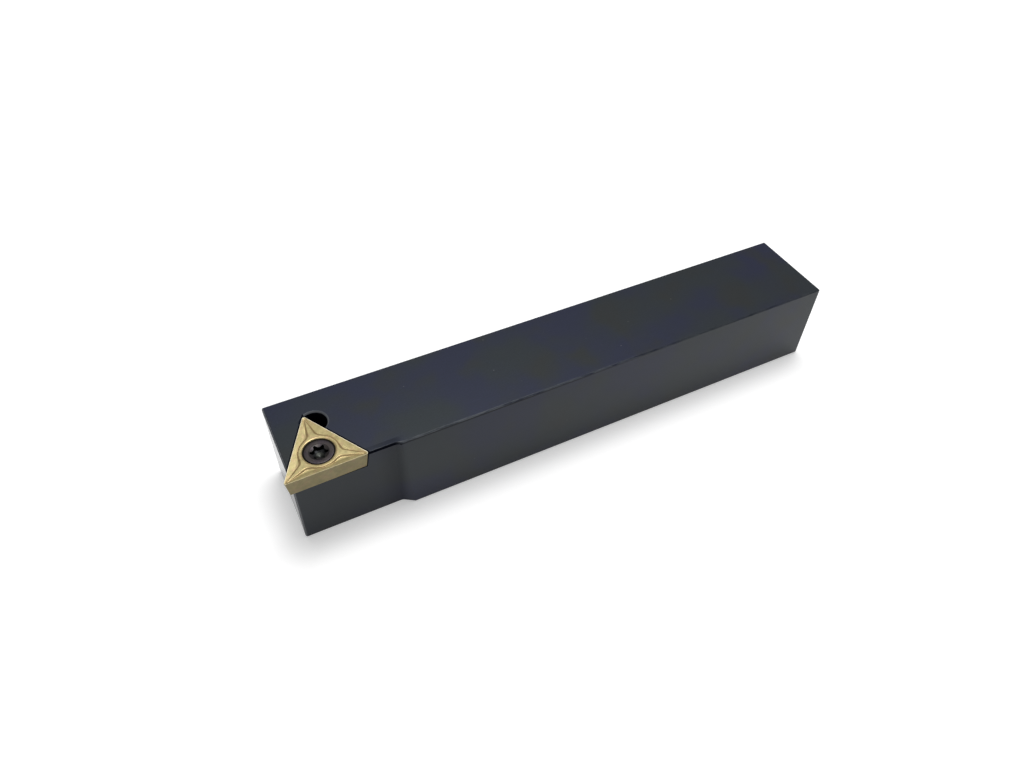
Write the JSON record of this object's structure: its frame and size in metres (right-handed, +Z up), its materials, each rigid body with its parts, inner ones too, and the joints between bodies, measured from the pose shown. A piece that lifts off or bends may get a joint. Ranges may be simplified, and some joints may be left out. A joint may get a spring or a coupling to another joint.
{
  "type": "turning tool holder",
  "caption": "Square-shank side-cutting lathe tool: a triangular indexable insert sits in a V-shaped pocket at the end of the shank, held by a countersunk six-lobe screw.",
  "frame": {"origin": "under the middle of the tool, on the plane that the shank stands on", "axes": "+X from the rear of the shank to the cutting corner, +Y out of the side that the main cutting edge faces, +Z up, out of the rake face"},
  "size_m": [0.125, 0.02, 0.02],
  "materials": {
    "blackened_steel": "machined and black-oxided, satin, bare along worn edges",
    "coated_carbide": "pressed carbide with a satin gold-coloured coating",
    "screw_steel": "hardened steel, dark brown oxide, turned head"
  },
  "bodies": {
    "holder": {"tool_body": "blackened_steel"},
    "insert": {"insert": "coated_carbide"},
    "clamp_screw": {"clamp_screw": "screw_steel"}
  },
  "joints": [
    {"name": "insert_lift", "type": "slide", "parent": "holder", "child": "insert", "axis": [0, 0, 1], "range_m": [0, 0.0056]},
    {"name": "screw_turn", "type": "hinge", "parent": "insert", "child": "clamp_screw", "pos_m": [0.05462, 0.00511, 0.01975], "axis": [0, 0, 1], "range_deg": [0, 2880]}
  ],
  "couplings": [
    {"joint": "screw_turn", "follows": "insert_lift", "rad_per_m": 8975.9}
  ]
}
